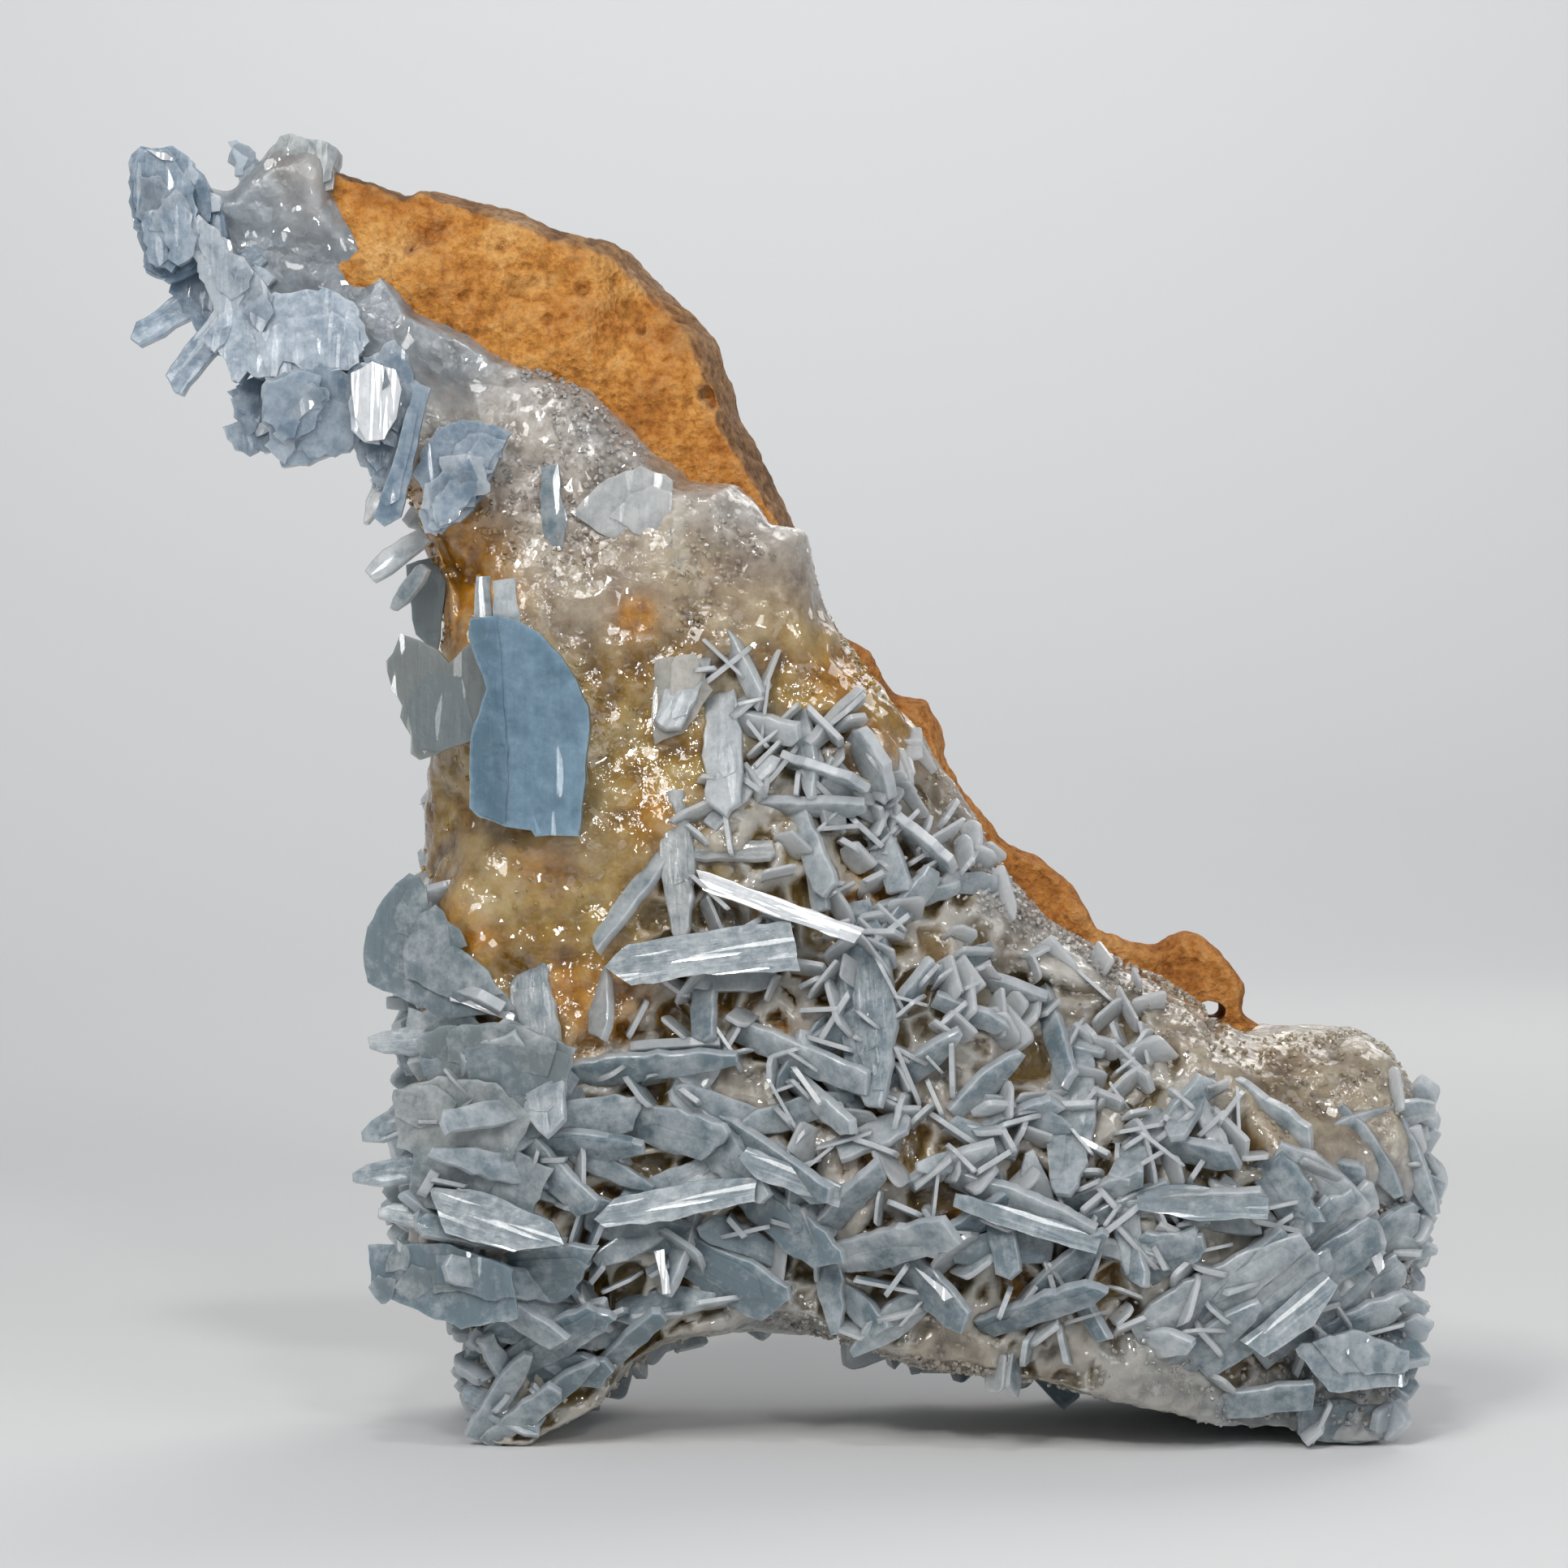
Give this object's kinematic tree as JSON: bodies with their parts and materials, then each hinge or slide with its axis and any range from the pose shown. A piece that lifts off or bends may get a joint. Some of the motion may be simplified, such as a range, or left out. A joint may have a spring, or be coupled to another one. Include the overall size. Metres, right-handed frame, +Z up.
{
  "type": "barite blade specimen",
  "caption": "Free-standing mineral specimen: flat blue-grey barite blades on a pale crust over iron-stained rock, on two feet with a low arch between.",
  "frame": {"origin": "under the middle of the specimen, on the surface that it stands on", "axes": "+Z up, +X to the right as seen from the front, the front with the blades faces -Y"},
  "size_m": [0.1092, 0.0444, 0.1084],
  "materials": {
    "iron_stained_rock": "matt, grainy, ochre with brown pits",
    "crust": "sugary and glassy, white to honey",
    "barite_blades": "glassy, translucent, pale blue-grey",
    "blue_blade": "glassy, translucent, pale blue"
  },
  "bodies": {
    "root": {"matrix": "iron_stained_rock", "crust": "crust", "wing_blades": "barite_blades", "large_blade": "blue_blade"}
  },
  "joints": []
}
